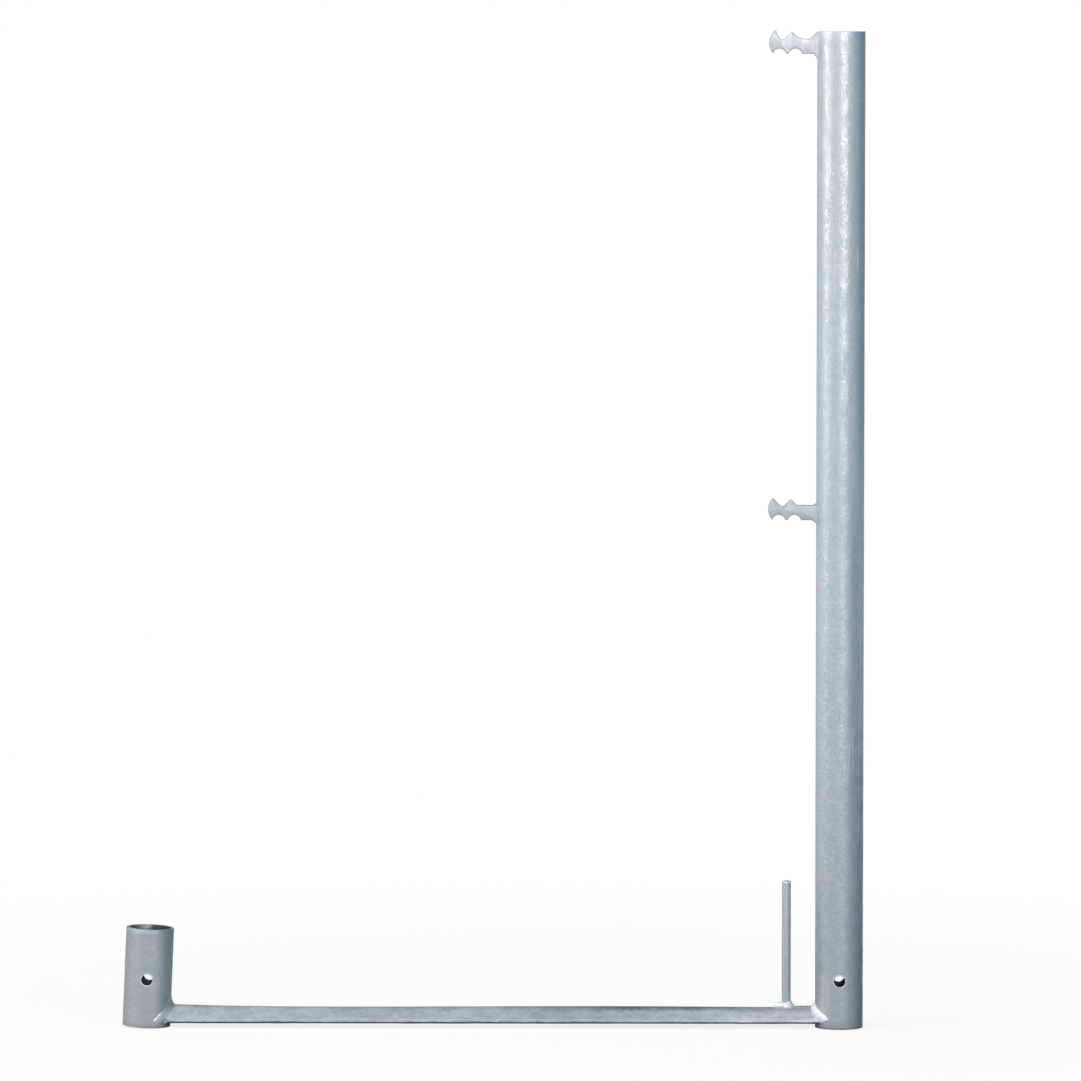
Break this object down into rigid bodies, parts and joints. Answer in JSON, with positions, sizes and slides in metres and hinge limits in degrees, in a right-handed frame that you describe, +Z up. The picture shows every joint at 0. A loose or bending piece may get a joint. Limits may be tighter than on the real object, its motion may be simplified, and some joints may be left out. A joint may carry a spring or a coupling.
{
  "type": "scaffold end frame",
  "caption": "L-shaped galvanised scaffold end frame: tall post, short socket, folded foot bar, toothed guardrail pegs and a toe board pin.",
  "frame": {"origin": "centre of the post's lower mouth, on the plane that the frame stands on", "axes": "+Z up along the post, -X along the foot bar from the post to the socket, -Y towards the viewer"},
  "size_m": [0.7492, 0.0482, 1.005],
  "materials": {
    "galvanised_tube": "hot-dip galvanised, dull spangle",
    "galvanised_bar": "hot-dip galvanised, dull spangle",
    "galvanised_rod": "hot-dip galvanised",
    "galvanised_plate": "hot-dip galvanised, cut edges",
    "weld_metal": "bright zinc over weld metal"
  },
  "bodies": {
    "root": {"post_tube": "galvanised_tube", "socket_tube": "galvanised_tube", "cross_bar": "galvanised_bar", "toe_board_pin": "galvanised_rod", "upper_rail_peg": "galvanised_plate", "lower_rail_peg": "galvanised_plate", "post_bar_weld": "weld_metal", "socket_bar_weld": "weld_metal", "toe_pin_weld": "weld_metal", "upper_peg_weld": "weld_metal", "lower_peg_weld": "weld_metal"}
  },
  "joints": []
}
